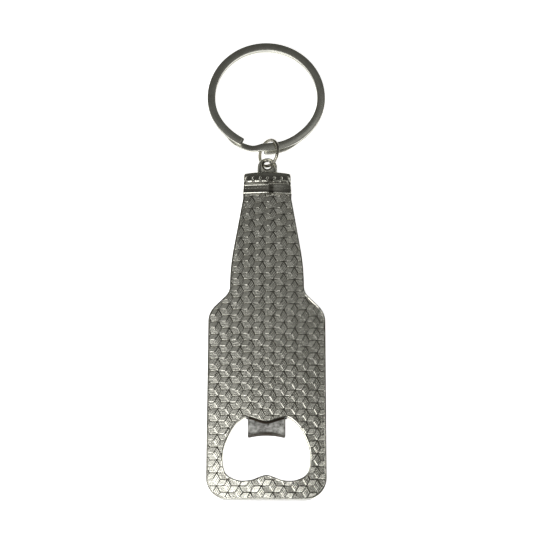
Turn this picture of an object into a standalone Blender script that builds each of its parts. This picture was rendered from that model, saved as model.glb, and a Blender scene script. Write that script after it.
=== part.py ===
"""Keychain bottle opener in the shape of a beer bottle, with a jump ring and a split key ring.

The opener lies flat on its back: +Z points out of the decorated front, +Y points from the
bottle's base to its crown cap, and +X points to the right. The origin is the middle of the
flat back, halfway between the base and the top of the cap. Dimensions are millimetres;
the helper functions turn them into metres.

Pieces:
  bottle_body   zinc die casting: flat bottle, crown cap, collar and hanging lug in one
  opener_tooth  pressed steel tongue, cast into a pocket above the opening
  jump_ring     butted wire ring through the lug
  split_ring    flat spring wire wound twice, which carries the keys
"""
from math import cos, pi, radians, sin, sqrt, tan

import bmesh
import bpy
from mathutils import Matrix, Vector

MM = 0.001
GAP = 0.3                       # space kept between neighbouring pieces

# Bottle plate
BODY_LENGTH = 95.6              # base to the top of the crown cap
BODY_HALF_WIDTH = 16.75
BODY_THICK = 4.0
BASE_Y = -BODY_LENGTH / 2
BASE_CORNER_R = 6.0
EDGE_R = 0.35                   # rounding of the plate's front and back edges
EDGE_STEPS = 2

# Shoulder and neck: convex arc, 45 degree run, concave arc, long neck arc, straight taper
SHOULDER_Y = 2.7                # where the straight sides end
SHOULDER_CONVEX_R = 6.4
SHOULDER_CONCAVE_R = 4.2
NECK_BASE_HALF_WIDTH = 10.67
NECK_ARC_R = 66.0
NECK_TAPER = radians(9.8)
NECK_TOP_Y = 41.0
PLATE_TOP_Y = 46.9              # the plate runs on inside the cap
PLATE_TOP_HALF_WIDTH = 6.6

# Collar: the rolled lip of the bottle under the cap
COLLAR_LOW_Y = 40.95
COLLAR_HIGH_Y = 43.9
COLLAR_LOW_HALF_WIDTH = 7.15
COLLAR_HIGH_HALF_WIDTH = 6.95
COLLAR_CREST_Z = 4.95           # front face at the middle
COLLAR_SIDE_Z = 4.25            # front face at the sides
COLLAR_ROUND = 0.4

# Crown cap with pressed flutes
CAP_LOW_Y = 44.35
CAP_HIGH_Y = 47.5               # top of the cap at its sides
CAP_ARCH = 0.3                  # the top rises by this much at the middle
CAP_HALF_WIDTH = 6.95
CAP_CORNER_R = 0.8
CAP_CREST_Z = 4.95
CAP_SIDE_Z = 4.15
CAP_ROUND = 0.9                 # rounding from the front over the top
FLUTE_PITCH = 2.04
FLUTE_HEIGHT = 0.35             # how far a flute stands out at the skirt
FLUTE_TOP_Y = 46.4              # flutes fade out here
RELIEF_BACK_Z = 0.3             # the cap and collar start just inside the flat back

# Hanging lug
LUG_EYE_Y = 50.1
LUG_MID_Z = 3.05
LUG_HALF_THICK = 0.75
LUG_OUTER_R = 2.9
LUG_ARC_Y = 49.4
LUG_ROOT_Y = 46.0
LUG_EDGE_R = 0.3
EYE_R = 1.1                     # at the waist of the hourglass eye
EYE_FLAT = 0.1                  # half length of the waist

# Opening for the crown cap: right half of a smooth closed curve, from the middle of the
# top lip, round the lobes, to the middle of the lower edge
OPENING_POINTS = (
    (0.0, -26.15), (5.05, -24.9), (7.35, -25.85), (9.45, -28.05), (11.55, -32.6),
    (12.2, -36.0), (11.75, -39.6), (10.65, -41.3), (8.55, -42.35), (6.5, -42.65),
    (4.0, -42.35), (1.95, -41.55), (0.0, -41.05),
)
OPENING_STEPS = 5               # curve points between two design points

# Steel tooth and the pocket that holds its root
TOOTH_HALF_WIDTH = 5.3
TOOTH_LOW_Z = 0.9
TOOTH_HIGH_Z = 2.5
TOOTH_ROOT_Y = -20.8
POCKET_FRONT_Y = -27.5          # the pocket's cutter ends inside the opening
TOOTH_EDGE_R = 0.25             # rounding of the long edges
TOOTH_CORNER_LOW_Y = -30.5      # tip at the corners, back face
TOOTH_MIDDLE_LOW_Y = -29.85     # tip at the middle, back face
TOOTH_CORNER_HIGH_Y = -29.9     # tip at the corners, front face
TOOTH_MIDDLE_HIGH_Y = -28.7     # tip at the middle, front face
TOOTH_TIP_STEPS = 12

# Jump ring: round wire, standing askew in the lug's eye
JUMP_WIRE_R = 0.48
JUMP_MID_R = 3.95
JUMP_LEAN = radians(48)         # between the ring's plane and the bottle's plane
JUMP_CENTRE = (0.42, 53.85, 3.5)
JUMP_BUTT_GAP = 0.25
JUMP_BUTT_ANGLE = radians(155)  # where the wire's ends meet, from the ring's low side
JUMP_SEGMENTS = 72
JUMP_SIDES = 10

# Split ring: flat spring wire, two turns, drawn in a little towards the ends of the wire
SPLIT_OUTER_R = 17.5
SPLIT_WIRE_WIDTH = 2.34
SPLIT_WIRE_THICK = 1.0
SPLIT_TURN_GAP = 0.12
SPLIT_CENTRE = (-0.37, 71.15, 3.5)
SPLIT_CHAMFER = 0.25
SPLIT_FRONT_END = -26.0         # degrees round from the ring's low side, front turn
SPLIT_BACK_END = -2.0           # the same for the back turn
SPLIT_STEP = 6.0                # degrees between sections
SPLIT_DRAW_IN = 0.6             # both turns come in by this much near the low side
SPLIT_DRAW_FROM = 85.0          # degrees from the low side where drawing in starts
SPLIT_DRAW_TO = 35.0            # and where it is complete
SPLIT_CROSS_SPARE = 1.0         # degrees between the end of crossing and the front end
SPLIT_NIP = 0.55                # the wire is nipped from inside where it crosses over
SPLIT_NIP_BEYOND = 20.0         # degrees that the nip runs on past the crossover
SPLIT_NIP_RUN = 14.0            # degrees over which the nip comes and goes
SPLIT_NIP_OUTER = 0.8           # share of the drawing in that the nipped stretch gives back
SPLIT_HUMP = 0.12               # the front turn bulges inwards beside the crossover
SPLIT_HUMP_FROM = -3.0
SPLIT_HUMP_TO = 17.0
SPLIT_HUMP_RUN = 9.0
SPLIT_SPLAY = 0.65              # the back turn swings out again towards its end
SPLIT_SPLAY_FROM = 40.0         # degrees before the back end where it starts to swing out
SPLIT_SPLAY_TO = 16.0           # and where it has swung out

# Pivots of the two moving pieces
JUMP_PIVOT = (0.0, LUG_EYE_Y, LUG_MID_Z)
SPLIT_PIVOT = (JUMP_CENTRE[0], 55.1, JUMP_CENTRE[2])


def clear_scene():
    for item in list(bpy.data.objects):
        bpy.data.objects.remove(item, do_unlink=True)


def make_material(name, colour, roughness):
    material = bpy.data.materials.new(name)
    material.use_nodes = True
    shader = material.node_tree.nodes["Principled BSDF"]
    shader.inputs["Base Color"].default_value = (*colour, 1.0)
    shader.inputs["Metallic"].default_value = 1.0
    shader.inputs["Roughness"].default_value = roughness
    return material


def add_object(name, mesh_data, material=None, origin=(0.0, 0.0, 0.0)):
    """Turn a bmesh in millimetres into an object in metres, with its origin at `origin`."""
    shift = Vector(origin)
    for vert in mesh_data.verts:
        vert.co = (vert.co - shift) * MM
    bmesh.ops.recalc_face_normals(mesh_data, faces=mesh_data.faces)
    mesh = bpy.data.meshes.new(name)
    mesh_data.to_mesh(mesh)
    mesh_data.free()
    item = bpy.data.objects.new(name, mesh)
    item.location = shift * MM
    bpy.context.scene.collection.objects.link(item)
    if material is not None:
        mesh.materials.append(material)
    return item


def shade(item, angle=40):
    item.data.shade_smooth()
    item.data.set_sharp_from_angle(angle=radians(angle))


def mirrored(half):
    """Close a right-hand half outline, listed from low to high, with its mirror image."""
    left = [(-x, y) for x, y in reversed(half) if x > 1e-6]
    return list(half) + left


def arc(centre, radius, start, end, steps):
    """Points on an arc from angle `start` to `end`, both included."""
    span = end - start
    angles = [start + span * i / steps for i in range(steps + 1)]
    return [(centre[0] + radius * cos(a), centre[1] + radius * sin(a)) for a in angles]


def inset(points, distance):
    """Move a counter-clockwise closed outline inwards by `distance`."""
    result = []
    count = len(points)
    for i, (x, y) in enumerate(points):
        ax, ay = points[i - 1]
        bx, by = points[(i + 1) % count]
        in_dir = Vector((x - ax, y - ay)).normalized()
        out_dir = Vector((bx - x, by - y)).normalized()
        side = in_dir + out_dir
        normal = Vector((-side.y, side.x)).normalized()
        reach = distance / max(normal.dot(Vector((-in_dir.y, in_dir.x))), 0.3)
        result.append((x + normal.x * reach, y + normal.y * reach))
    return result


def loft(rings):
    """Join equal rings of points with quads and cap the two ends."""
    mesh_data = bmesh.new()
    loops = [[mesh_data.verts.new(point) for point in ring] for ring in rings]
    count = len(loops[0])
    for low, high in zip(loops, loops[1:]):
        for i in range(count):
            j = (i + 1) % count
            mesh_data.faces.new((low[i], low[j], high[j], high[i]))
    mesh_data.faces.new(list(reversed(loops[0])))
    mesh_data.faces.new(loops[-1])
    return mesh_data


def edge_profile(low, high, radius, steps, outward=False):
    """Inset and height of each ring of a slab whose two rims are rounded."""
    sign = -1.0 if outward else 1.0
    turns = [pi / 2 * i / steps for i in range(steps + 1)]
    lower = [(sign * radius * (1 - sin(t)), low + radius * (1 - cos(t))) for t in turns]
    upper = [(distance, low + high - z) for distance, z in reversed(lower)]
    return lower + upper


def slab(outline, low, high, radius, steps=EDGE_STEPS):
    """A plate of the given outline with rounded rims."""
    rings = []
    for distance, z in edge_profile(low, high, radius, steps):
        rings.append([(x, y, z) for x, y in inset(outline, distance)])
    return loft(rings)


def plate_outline():
    """The flat bottle, from the middle of its base up into the cap."""
    half = [(0.0, BASE_Y)]
    corner = (BODY_HALF_WIDTH - BASE_CORNER_R, BASE_Y + BASE_CORNER_R)
    half += arc(corner, BASE_CORNER_R, -pi / 2, 0.0, 10)

    convex = (BODY_HALF_WIDTH - SHOULDER_CONVEX_R, SHOULDER_Y)
    half += arc(convex, SHOULDER_CONVEX_R, 0.0, pi / 4, 6)

    run_x, run_y = half[-1]
    drop = SHOULDER_CONCAVE_R * (1 - cos(pi / 4))
    fall = run_x - (NECK_BASE_HALF_WIDTH + drop)
    concave = (NECK_BASE_HALF_WIDTH + SHOULDER_CONCAVE_R,
               run_y + fall + SHOULDER_CONCAVE_R * sin(pi / 4))
    half += arc(concave, SHOULDER_CONCAVE_R, pi * 5 / 4, pi, 5)

    neck = (NECK_BASE_HALF_WIDTH - NECK_ARC_R, concave[1])
    half += arc(neck, NECK_ARC_R, 0.0, NECK_TAPER, 5)[1:]
    arc_x, arc_y = half[-1]
    half.append((arc_x - (NECK_TOP_Y - arc_y) * tan(NECK_TAPER), NECK_TOP_Y))
    half.append((PLATE_TOP_HALF_WIDTH, PLATE_TOP_Y))
    half.append((0.0, PLATE_TOP_Y))
    return mirrored(half)


def opening_outline():
    """Smooth closed curve through the opening's design points."""
    right = list(OPENING_POINTS)
    left = [(-x, y) for x, y in reversed(right[1:-1])]
    loop = [Vector(point) for point in right + left]
    count = len(loop)
    points = []
    for i in range(count):
        before, start, end, after = (loop[(i + k) % count] for k in (-1, 0, 1, 2))
        for step in range(OPENING_STEPS):
            t = step / OPENING_STEPS
            pull = 0.5 * (end - before) * t * (1 - t) ** 2
            push = 0.5 * (after - start) * t * t * (t - 1)
            blend = t * t * (3 - 2 * t)
            point = start.lerp(end, blend) + pull + push
            points.append((point.x, point.y))
    return list(reversed(points))


def opening_cutter():
    """The opening's hole, flared at both faces so that its rims come out rounded."""
    outline = opening_outline()
    profile = edge_profile(0.0, BODY_THICK, EDGE_R, EDGE_STEPS, outward=True)
    first = (profile[0][0] - EDGE_R, -2 * EDGE_R)
    last = (profile[-1][0] - EDGE_R, BODY_THICK + 2 * EDGE_R)
    rings = []
    for distance, z in [first] + profile + [last]:
        rings.append([(x, y, z) for x, y in inset(outline, distance)])
    return loft(rings)


def box(low, high):
    mesh_data = bmesh.new()
    size = [b - a for a, b in zip(low, high)]
    middle = [(a + b) / 2 for a, b in zip(low, high)]
    place = Matrix.Translation(middle) @ Matrix.Diagonal((*size, 1.0))
    bmesh.ops.create_cube(mesh_data, size=1.0, matrix=place)
    return mesh_data


def pocket_cutter():
    low = (-TOOTH_HALF_WIDTH - GAP, POCKET_FRONT_Y, TOOTH_LOW_Z - GAP)
    high = (TOOTH_HALF_WIDTH + GAP, TOOTH_ROOT_Y + GAP, TOOTH_HIGH_Z + GAP)
    return box(low, high)


def domed_block(rows, columns, place, front):
    """A closed block: `place(u, v)` gives x and y, `front(x, y)` gives the front height."""
    mesh_data = bmesh.new()
    grids = []
    for level in (0, 1):
        grid = []
        for j in range(rows + 1):
            line = []
            for i in range(columns + 1):
                x, y = place(2 * i / columns - 1, j / rows)
                z = front(x, y) if level else RELIEF_BACK_Z
                line.append(mesh_data.verts.new((x, y, z)))
            grid.append(line)
        grids.append(grid)
    back, face = grids
    for j in range(rows):
        for i in range(columns):
            for grid in grids:
                corners = (grid[j][i], grid[j][i + 1], grid[j + 1][i + 1], grid[j + 1][i])
                mesh_data.faces.new(corners if grid is face else corners[::-1])
    border = [(0, i) for i in range(columns)]
    border += [(j, columns) for j in range(rows)]
    border += [(rows, i) for i in range(columns, 0, -1)]
    border += [(j, 0) for j in range(rows, 0, -1)]
    for (j0, i0), (j1, i1) in zip(border, border[1:] + border[:1]):
        mesh_data.faces.new((back[j0][i0], back[j1][i1], face[j1][i1], face[j0][i0]))
    bmesh.ops.dissolve_limit(mesh_data, angle_limit=radians(0.5), verts=mesh_data.verts,
                             edges=mesh_data.edges)
    return mesh_data


def rolled(depth, radius):
    """Drop of a rounded rim at a distance `depth` in from its edge."""
    if depth >= radius:
        return 0.0
    return radius - sqrt(max(radius ** 2 - (radius - depth) ** 2, 0.0))


def collar_half_width(y):
    share = (y - COLLAR_LOW_Y) / (COLLAR_HIGH_Y - COLLAR_LOW_Y)
    return COLLAR_LOW_HALF_WIDTH + (COLLAR_HIGH_HALF_WIDTH - COLLAR_LOW_HALF_WIDTH) * share


def collar_block():
    def place(u, v):
        y = COLLAR_LOW_Y + (COLLAR_HIGH_Y - COLLAR_LOW_Y) * (1 - cos(pi * v)) / 2
        return sin(u * pi / 2) * collar_half_width(y), y

    def front(x, y):
        across = x / collar_half_width(y)
        crest = COLLAR_SIDE_Z + (COLLAR_CREST_Z - COLLAR_SIDE_Z) * (1 - across ** 2)
        low_drop = rolled(y - COLLAR_LOW_Y, COLLAR_ROUND)
        high_drop = rolled(COLLAR_HIGH_Y - y, COLLAR_ROUND)
        side_drop = rolled(collar_half_width(y) - abs(x), COLLAR_ROUND)
        return crest - max(low_drop, high_drop, side_drop)

    return domed_block(8, 20, place, front)


def cap_half_width(y):
    rise = y - (CAP_HIGH_Y - CAP_CORNER_R)
    if rise <= 0:
        return CAP_HALF_WIDTH
    return CAP_HALF_WIDTH - rolled(CAP_CORNER_R - rise, CAP_CORNER_R)


def cap_block():
    """Crown cap: a shallow dome whose skirt is pressed into flutes."""
    def place(u, v):
        y = CAP_LOW_Y + (CAP_HIGH_Y - CAP_LOW_Y) * sin(v * pi / 2)
        x = u * cap_half_width(y)
        return x, y + CAP_ARCH * v * (1 - u * u)

    def front(x, y):
        across = x / CAP_HALF_WIDTH
        crest = CAP_SIDE_Z + (CAP_CREST_Z - CAP_SIDE_Z) * (1 - across ** 2)
        fade = min(max((FLUTE_TOP_Y - y) / (FLUTE_TOP_Y - CAP_LOW_Y), 0.0), 1.0)
        wave = 0.5 + 0.5 * cos(2 * pi * x / FLUTE_PITCH)
        top_y = CAP_HIGH_Y + CAP_ARCH * (1 - across ** 2)
        top_drop = rolled(max(top_y - y, 0.0), CAP_ROUND)
        side_drop = rolled(max(CAP_HALF_WIDTH - abs(x), 0.0), CAP_ROUND / 2)
        return crest + FLUTE_HEIGHT * (wave - 1) * fade - max(top_drop, side_drop)

    return domed_block(8, 56, place, front)


def lug_block():
    """Tombstone-shaped ear that stands on the cap."""
    half = [(0.0, LUG_ROOT_Y), (LUG_OUTER_R, LUG_ROOT_Y)]
    half += arc((0.0, LUG_ARC_Y), LUG_OUTER_R, 0.0, pi / 2, 8)
    half[-1] = (0.0, LUG_ARC_Y + LUG_OUTER_R)
    outline = mirrored(half)
    low = LUG_MID_Z - LUG_HALF_THICK
    high = LUG_MID_Z + LUG_HALF_THICK
    return slab(outline, low, high, LUG_EDGE_R)


def eye_cutter():
    """Hourglass hole, opened out at 45 degrees from a short waist."""
    reach = 2 * LUG_HALF_THICK
    stations = [(-reach, EYE_R + reach - EYE_FLAT), (-EYE_FLAT, EYE_R), (EYE_FLAT, EYE_R),
                (reach, EYE_R + reach - EYE_FLAT)]
    rings = []
    for z, radius in stations:
        ring = arc((0.0, LUG_EYE_Y), radius, 0.0, 2 * pi, 28)[:-1]
        rings.append([(x, y, LUG_MID_Z + z) for x, y in ring])
    return loft(rings)


def cut_or_join(target, mesh_data, name, operation):
    """Boolean with a helper solid that is itself left out of the model."""
    helper = add_object(name, mesh_data)
    helper.hide_render = True
    helper.display_type = "WIRE"
    step = target.modifiers.new(name, "BOOLEAN")
    step.operation = operation
    step.solver = "EXACT"
    step.object = helper
    helper.parent = target


def build_bottle_body():
    zinc = make_material("plated_zinc", (0.46, 0.45, 0.42), 0.34)
    body = add_object("bottle_body", slab(plate_outline(), 0.0, BODY_THICK, EDGE_R), zinc)
    cut_or_join(body, opening_cutter(), "opening_cut", "DIFFERENCE")
    cut_or_join(body, pocket_cutter(), "pocket_cut", "DIFFERENCE")
    cut_or_join(body, lug_block(), "lug_join", "UNION")
    cut_or_join(body, eye_cutter(), "eye_cut", "DIFFERENCE")
    cut_or_join(body, collar_block(), "collar_join", "UNION")
    cut_or_join(body, cap_block(), "cap_join", "UNION")
    shade(body, 30)
    return body


def tooth_tip(corner_y, middle_y, half_width):
    """Hollow-ground tip: an arc from the left corner to the right one."""
    rise = middle_y - corner_y
    points = []
    for i in range(TOOTH_TIP_STEPS + 1):
        across = 2 * i / TOOTH_TIP_STEPS - 1
        points.append((across * half_width, corner_y + rise * (1 - across ** 2)))
    return points


def build_opener_tooth():
    steel = make_material("pressed_steel", (0.40, 0.40, 0.38), 0.45)
    rings = []
    for distance, z in edge_profile(TOOTH_LOW_Z, TOOTH_HIGH_Z, TOOTH_EDGE_R, EDGE_STEPS):
        share = (z - TOOTH_LOW_Z) / (TOOTH_HIGH_Z - TOOTH_LOW_Z)
        corner = TOOTH_CORNER_LOW_Y + (TOOTH_CORNER_HIGH_Y - TOOTH_CORNER_LOW_Y) * share
        middle = TOOTH_MIDDLE_LOW_Y + (TOOTH_MIDDLE_HIGH_Y - TOOTH_MIDDLE_LOW_Y) * share
        half_width = TOOTH_HALF_WIDTH - distance
        tip = tooth_tip(corner + distance, middle + distance, half_width)
        root = [(half_width, TOOTH_ROOT_Y - distance), (-half_width, TOOTH_ROOT_Y - distance)]
        rings.append([(x, y, z) for x, y in tip + root])
    tooth = add_object("opener_tooth", loft(rings), steel)
    shade(tooth)
    return tooth


def build_jump_ring():
    """Round wire bent to a circle, with its two ends almost touching."""
    wire = make_material("plated_wire", (0.36, 0.35, 0.32), 0.22)
    across = Vector((cos(JUMP_LEAN), 0.0, sin(JUMP_LEAN)))
    up = Vector((0.0, 1.0, 0.0))
    normal = across.cross(up)
    half_gap = JUMP_BUTT_GAP / JUMP_MID_R / 2
    start = JUMP_BUTT_ANGLE + half_gap
    span = 2 * pi - 2 * half_gap
    rings = []
    for i in range(JUMP_SEGMENTS + 1):
        turn = start + span * i / JUMP_SEGMENTS
        outward = across * sin(turn) - up * cos(turn)
        spine = Vector(JUMP_CENTRE) + outward * JUMP_MID_R
        sides = [2 * pi * k / JUMP_SIDES for k in range(JUMP_SIDES)]
        rings.append([spine + (outward * cos(s) + normal * sin(s)) * JUMP_WIRE_R
                      for s in sides])
    ring = add_object("jump_ring", loft(rings), wire, JUMP_PIVOT)
    shade(ring, 50)
    return ring


def smooth_step(value, low, high):
    t = min(max((value - low) / (high - low), 0.0), 1.0)
    return t * t * (3 - 2 * t)


def bump(value, low, high, run):
    """Rises from 0 to 1 after `low` and falls back before `high`."""
    return smooth_step(value, low, low + run) - smooth_step(value, high - run, high)


def split_section(angle):
    """Outer radius, inner radius and height of the wire at a running angle in degrees.

    The wire leaves its front end clockwise, passes once round, crosses to the back turn
    between the two ends, and runs once more round to its back end.
    """
    cross_start = SPLIT_BACK_END - 360.0
    cross_end = SPLIT_FRONT_END - 360.0
    back_end = SPLIT_BACK_END - 720.0
    crossed = smooth_step(-angle, -cross_start, -cross_end - SPLIT_CROSS_SPARE)
    height = (1.0 - 2.0 * crossed) * (SPLIT_WIRE_THICK + SPLIT_TURN_GAP) / 2

    from_low = abs((angle + 180.0) % 360.0 - 180.0)
    drawn = SPLIT_DRAW_IN * (1.0 - smooth_step(from_low, SPLIT_DRAW_TO, SPLIT_DRAW_FROM))
    nipped = bump(-angle, -cross_start, -cross_end + SPLIT_NIP_BEYOND, SPLIT_NIP_RUN)
    hump = bump(angle + 360.0, SPLIT_HUMP_FROM, SPLIT_HUMP_TO, SPLIT_HUMP_RUN)
    splay = SPLIT_SPLAY * smooth_step(-angle, -back_end - SPLIT_SPLAY_FROM,
                                      -back_end - SPLIT_SPLAY_TO)
    outer = SPLIT_OUTER_R - drawn * (1.0 - SPLIT_NIP_OUTER * nipped) + splay
    inner = outer - SPLIT_WIRE_WIDTH + SPLIT_NIP * nipped - SPLIT_HUMP * hump
    return outer, inner, height


def build_split_ring():
    """Flat spring wire wound twice, with the crossover at the low side by the jump ring."""
    wire = make_material("spring_wire", (0.30, 0.29, 0.27), 0.30)
    total = SPLIT_FRONT_END - (SPLIT_BACK_END - 720.0)
    count = round(total / SPLIT_STEP)
    half_thick = SPLIT_WIRE_THICK / 2
    centre = Vector(SPLIT_CENTRE)
    rings = []
    for i in range(count + 1):
        angle = SPLIT_FRONT_END - total * i / count
        outer, inner, height = split_section(angle)
        turn = radians(angle)
        outward = Vector((sin(turn), -cos(turn), 0.0))
        section = [
            (inner + SPLIT_CHAMFER, -half_thick), (outer - SPLIT_CHAMFER, -half_thick),
            (outer, SPLIT_CHAMFER - half_thick), (outer, half_thick - SPLIT_CHAMFER),
            (outer - SPLIT_CHAMFER, half_thick), (inner + SPLIT_CHAMFER, half_thick),
            (inner, half_thick - SPLIT_CHAMFER), (inner, SPLIT_CHAMFER - half_thick),
        ]
        rings.append([centre + outward * radius + Vector((0.0, 0.0, height + rise))
                      for radius, rise in section])
    ring = add_object("split_ring", loft(rings), wire, SPLIT_PIVOT)
    shade(ring)
    return ring


def main():
    clear_scene()
    build_bottle_body()
    build_opener_tooth()
    build_jump_ring()
    build_split_ring()


main()
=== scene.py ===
"""Looks of the keychain bottle opener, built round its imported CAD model.

The opener lies flat on its back: +Z points out of the decorated front, +Y points from the
bottle's base to its crown cap. Shapes are worked out in millimetres and turned into metres
when a mesh is made.
"""
from math import cos, floor, hypot, pi, radians, sin, sqrt, tan

import bmesh
import bpy
from mathutils import Matrix, Vector
from mathutils.geometry import delaunay_2d_cdt
from mathutils.noise import noise as noise3


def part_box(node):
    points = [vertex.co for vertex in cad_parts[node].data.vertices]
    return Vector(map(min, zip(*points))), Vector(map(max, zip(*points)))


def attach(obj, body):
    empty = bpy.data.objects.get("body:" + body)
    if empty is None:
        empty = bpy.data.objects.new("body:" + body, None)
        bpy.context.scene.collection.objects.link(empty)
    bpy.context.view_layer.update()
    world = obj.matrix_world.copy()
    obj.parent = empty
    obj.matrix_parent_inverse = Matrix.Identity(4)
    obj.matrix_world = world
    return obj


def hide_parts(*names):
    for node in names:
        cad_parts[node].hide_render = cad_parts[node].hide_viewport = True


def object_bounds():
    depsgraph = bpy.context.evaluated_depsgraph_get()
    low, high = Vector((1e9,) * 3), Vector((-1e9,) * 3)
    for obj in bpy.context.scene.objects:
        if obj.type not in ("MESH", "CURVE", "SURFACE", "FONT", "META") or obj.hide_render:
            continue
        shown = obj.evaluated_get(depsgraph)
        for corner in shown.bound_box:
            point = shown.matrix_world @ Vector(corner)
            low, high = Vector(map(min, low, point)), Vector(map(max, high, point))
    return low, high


MM = 0.001

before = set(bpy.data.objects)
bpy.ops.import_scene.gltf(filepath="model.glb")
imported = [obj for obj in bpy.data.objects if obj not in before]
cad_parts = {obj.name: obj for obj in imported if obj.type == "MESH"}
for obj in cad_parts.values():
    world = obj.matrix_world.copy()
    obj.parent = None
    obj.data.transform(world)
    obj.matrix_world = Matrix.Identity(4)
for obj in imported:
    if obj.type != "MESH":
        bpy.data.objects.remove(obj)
cad_low, cad_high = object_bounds()
body_low, body_high = (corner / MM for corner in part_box("bottle_body"))
tooth_low, tooth_high = (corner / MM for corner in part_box("opener_tooth"))

# Bottle plate
BODY_HALF_WIDTH = body_high.x
BODY_THICK = 4.0
BASE_Y = body_low.y
BASE_CORNER_R = 6.0
EDGE_R = 0.35
EDGE_STEPS = 5
SLACK = 0.01  # for comparing heights
MITRE_LIMIT = 0.3  # an inset corner moves at most 1 / 0.3 times as far as its sides

# Shoulder and neck: convex arc, 45 degree run, concave arc, long neck arc, straight taper
SHOULDER_Y = 2.7
SHOULDER_CONVEX_R = 6.4
SHOULDER_CONCAVE_R = 4.2
NECK_BASE_HALF_WIDTH = 10.67
NECK_ARC_R = 66.0
NECK_TAPER = radians(9.8)
NECK_TOP_Y = 41.0
PLATE_TOP_Y = 46.9
PLATE_TOP_HALF_WIDTH = 6.6
SHOULDER_RUN = 12.0  # the search for hexagons narrows over this height
SHOULDER_NARROWS = 0.4

# Steps in the plate's outline
BASE_POINTS = 8
STRAIGHT_STEPS = 12
CORNER_STEPS = 24
SHOULDER_STEPS = 14
CONCAVE_STEPS = 12

# Opening for the crown cap: right half of a smooth closed curve
OPENING_POINTS = (
    (0.0, -26.15), (5.05, -24.9), (7.35, -25.85), (9.45, -28.05), (11.55, -32.6),
    (12.2, -36.0), (11.75, -39.6), (10.65, -41.3), (8.55, -42.35), (6.5, -42.65),
    (4.0, -42.35), (1.95, -41.55), (0.0, -41.05),
)
OPENING_STEPS = 10
OPENING_REACH_X = 13.0  # a box round the opening
OPENING_LOW_Y = -43.5
OPENING_HIGH_Y = -24.4

# Cube pattern cast into the front: hexagons of three rhombi round a centre
RHOMB_SIDE = 2.072
HEX_HEIGHT = sqrt(3) * RHOMB_SIDE
HEX_STEP = 1.5 * RHOMB_SIDE
HEX_CENTRE = (0.748, 16.94)
PATTERN_MARGIN = 0.16  # plain strip between the rim and the pattern
PATTERN_TOP_Y = 40.8
PAINTED_SHADE = "painted_shade"  # mesh attribute: painted shade, 1 where shade is painted dark, lower where a highlight is painted
# slight even darkening on the plain strip round the pattern
MARGIN_DARKENING = 0.15
MERGE_DISTANCE = 0.003
FILL_TOLERANCE = 1e-5

# Pocket that holds the steel tooth's root
POCKET_GAP = 0.3
POCKET_FRONT_Y = -27.5

# Painted shade on the plate's rims; the rounded front edge is painted dark all round
RIM_TOP_SHADE = 0.4  # where that edge meets the front
# painted shade on the wall along the base
BASE_WALL_SHADE = 0.85
LOW_RIM_SHADE = 0.9  # painted shadow on the opening's lower edge
LOW_RIM_RISE = 3.0
SEAT_BEFORE = 0.1  # the pocket's mouth and the lip's wall over the tooth are painted in shadow this far before and beside the tooth
SEAT_BESIDE = 0.5

# Collar: the rolled lip of the bottle under the cap
COLLAR_LOW_Y = 40.95
COLLAR_HIGH_Y = 43.9
COLLAR_LOW_HALF_WIDTH = 7.15
COLLAR_HIGH_HALF_WIDTH = 6.95
COLLAR_CREST_Z = 4.95
COLLAR_SIDE_Z = 4.25
COLLAR_ROUND = 0.4
COLLAR_SLOPE = 0.16  # its lower part falls away towards the cap
COLLAR_STEP_Y = 41.65  # and ends in a small step down
COLLAR_STEP = 0.1  # its height and half its run
BEAD_Y = 42.7
BEAD_PITCH = 0.9
BEAD_HEIGHT = 0.05
BEAD_HALF_WIDTH = 0.13
# painted highlight on top of each bead
BEAD_HIGHLIGHT = 0.45
COLLAR_LIP = 0.07  # raised line along its top
COLLAR_LIP_LOW_Y = 43.5
COLLAR_LIP_HIGH_Y = 43.62
COLLAR_SHADE = (  # painted shade and painted highlights at each height
    (40.95, 1.0), (41.05, 0.1), (41.5, 0.1), (41.6, 0.75), (42.4, 0.75),
    (42.55, 0.6), (43.5, 0.6), (43.62, 0.0), (43.9, 0.1),
)
# strength of the painted dark reflection on the collar
COLLAR_DARK_REFLECTION = 0.95

# Painted dark reflection beside the middle of the collar and the cap
DARK_REFLECTION_LOW_X = 0.1
DARK_REFLECTION_HIGH_X = 2.2
DARK_REFLECTION_RUN = 0.5

# Crown cap with pressed flutes
CAP_LOW_Y = 44.35
CAP_HIGH_Y = 47.5
CAP_ARCH = 0.3
CAP_HALF_WIDTH = 6.95
CAP_CORNER_R = 0.8
CAP_CREST_Z = 4.95
CAP_SIDE_Z = 4.15
CAP_SLOPE = 0.17  # the cap's face falls away towards its top
CAP_TOP_ROUND = 0.45
CAP_LOW_ROUND = 0.25
CAP_SUNK = 0.15  # the face between the ribs lies this much below the lip
SKIRT_LIP = 0.5  # the skirt's lip flares out over this height
FLUTE_PITCH = 2.04
RIB_HALF_WIDTH = 0.42
RIB_HEIGHT = 0.3
RIB_TOP_Y = 46.35
RIB_NOSE = 0.7  # length over which a rib's upper end tapers
RIB_FOOT = 0.9  # a rib fades out this far above the skirt's edge
RIB_FOOT_RUN = 0.5
LIP_HEIGHT = 0.22
LIP_TOP = 0.75
LIP_RUN = 0.35
SCALLOP_DEPTH = 0.1  # the lip is lower between the ribs
SCALLOP_TOP = 0.6
SCALLOP_RUN = 0.4
CAP_SHADE = (  # painted shade and painted highlights at each height
    (44.45, 0.9), (44.6, 0.1), (44.95, 0.1), (45.1, 0.6), (46.3, 0.55), (46.5, 0.35),
)
# strength of the painted dark reflection on the cap, below the height that follows
CAP_DARK_REFLECTION = 0.9
CAP_DARK_REFLECTION_TOP_Y = 45.1
TICK_LOW_Y = 45.25  # the stretch of each rib with a painted highlight
TICK_HIGH_Y = 46.35
TICK_RUN = 0.25
# how much the painted highlight lightens a rib
TICK_HIGHLIGHT = 0.9

RELIEF_BACK_Z = 0.3  # where the collar and the cap end inside the plate
RELIEF_ANGLE = 50  # degrees up to which they are shaded smooth

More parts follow.
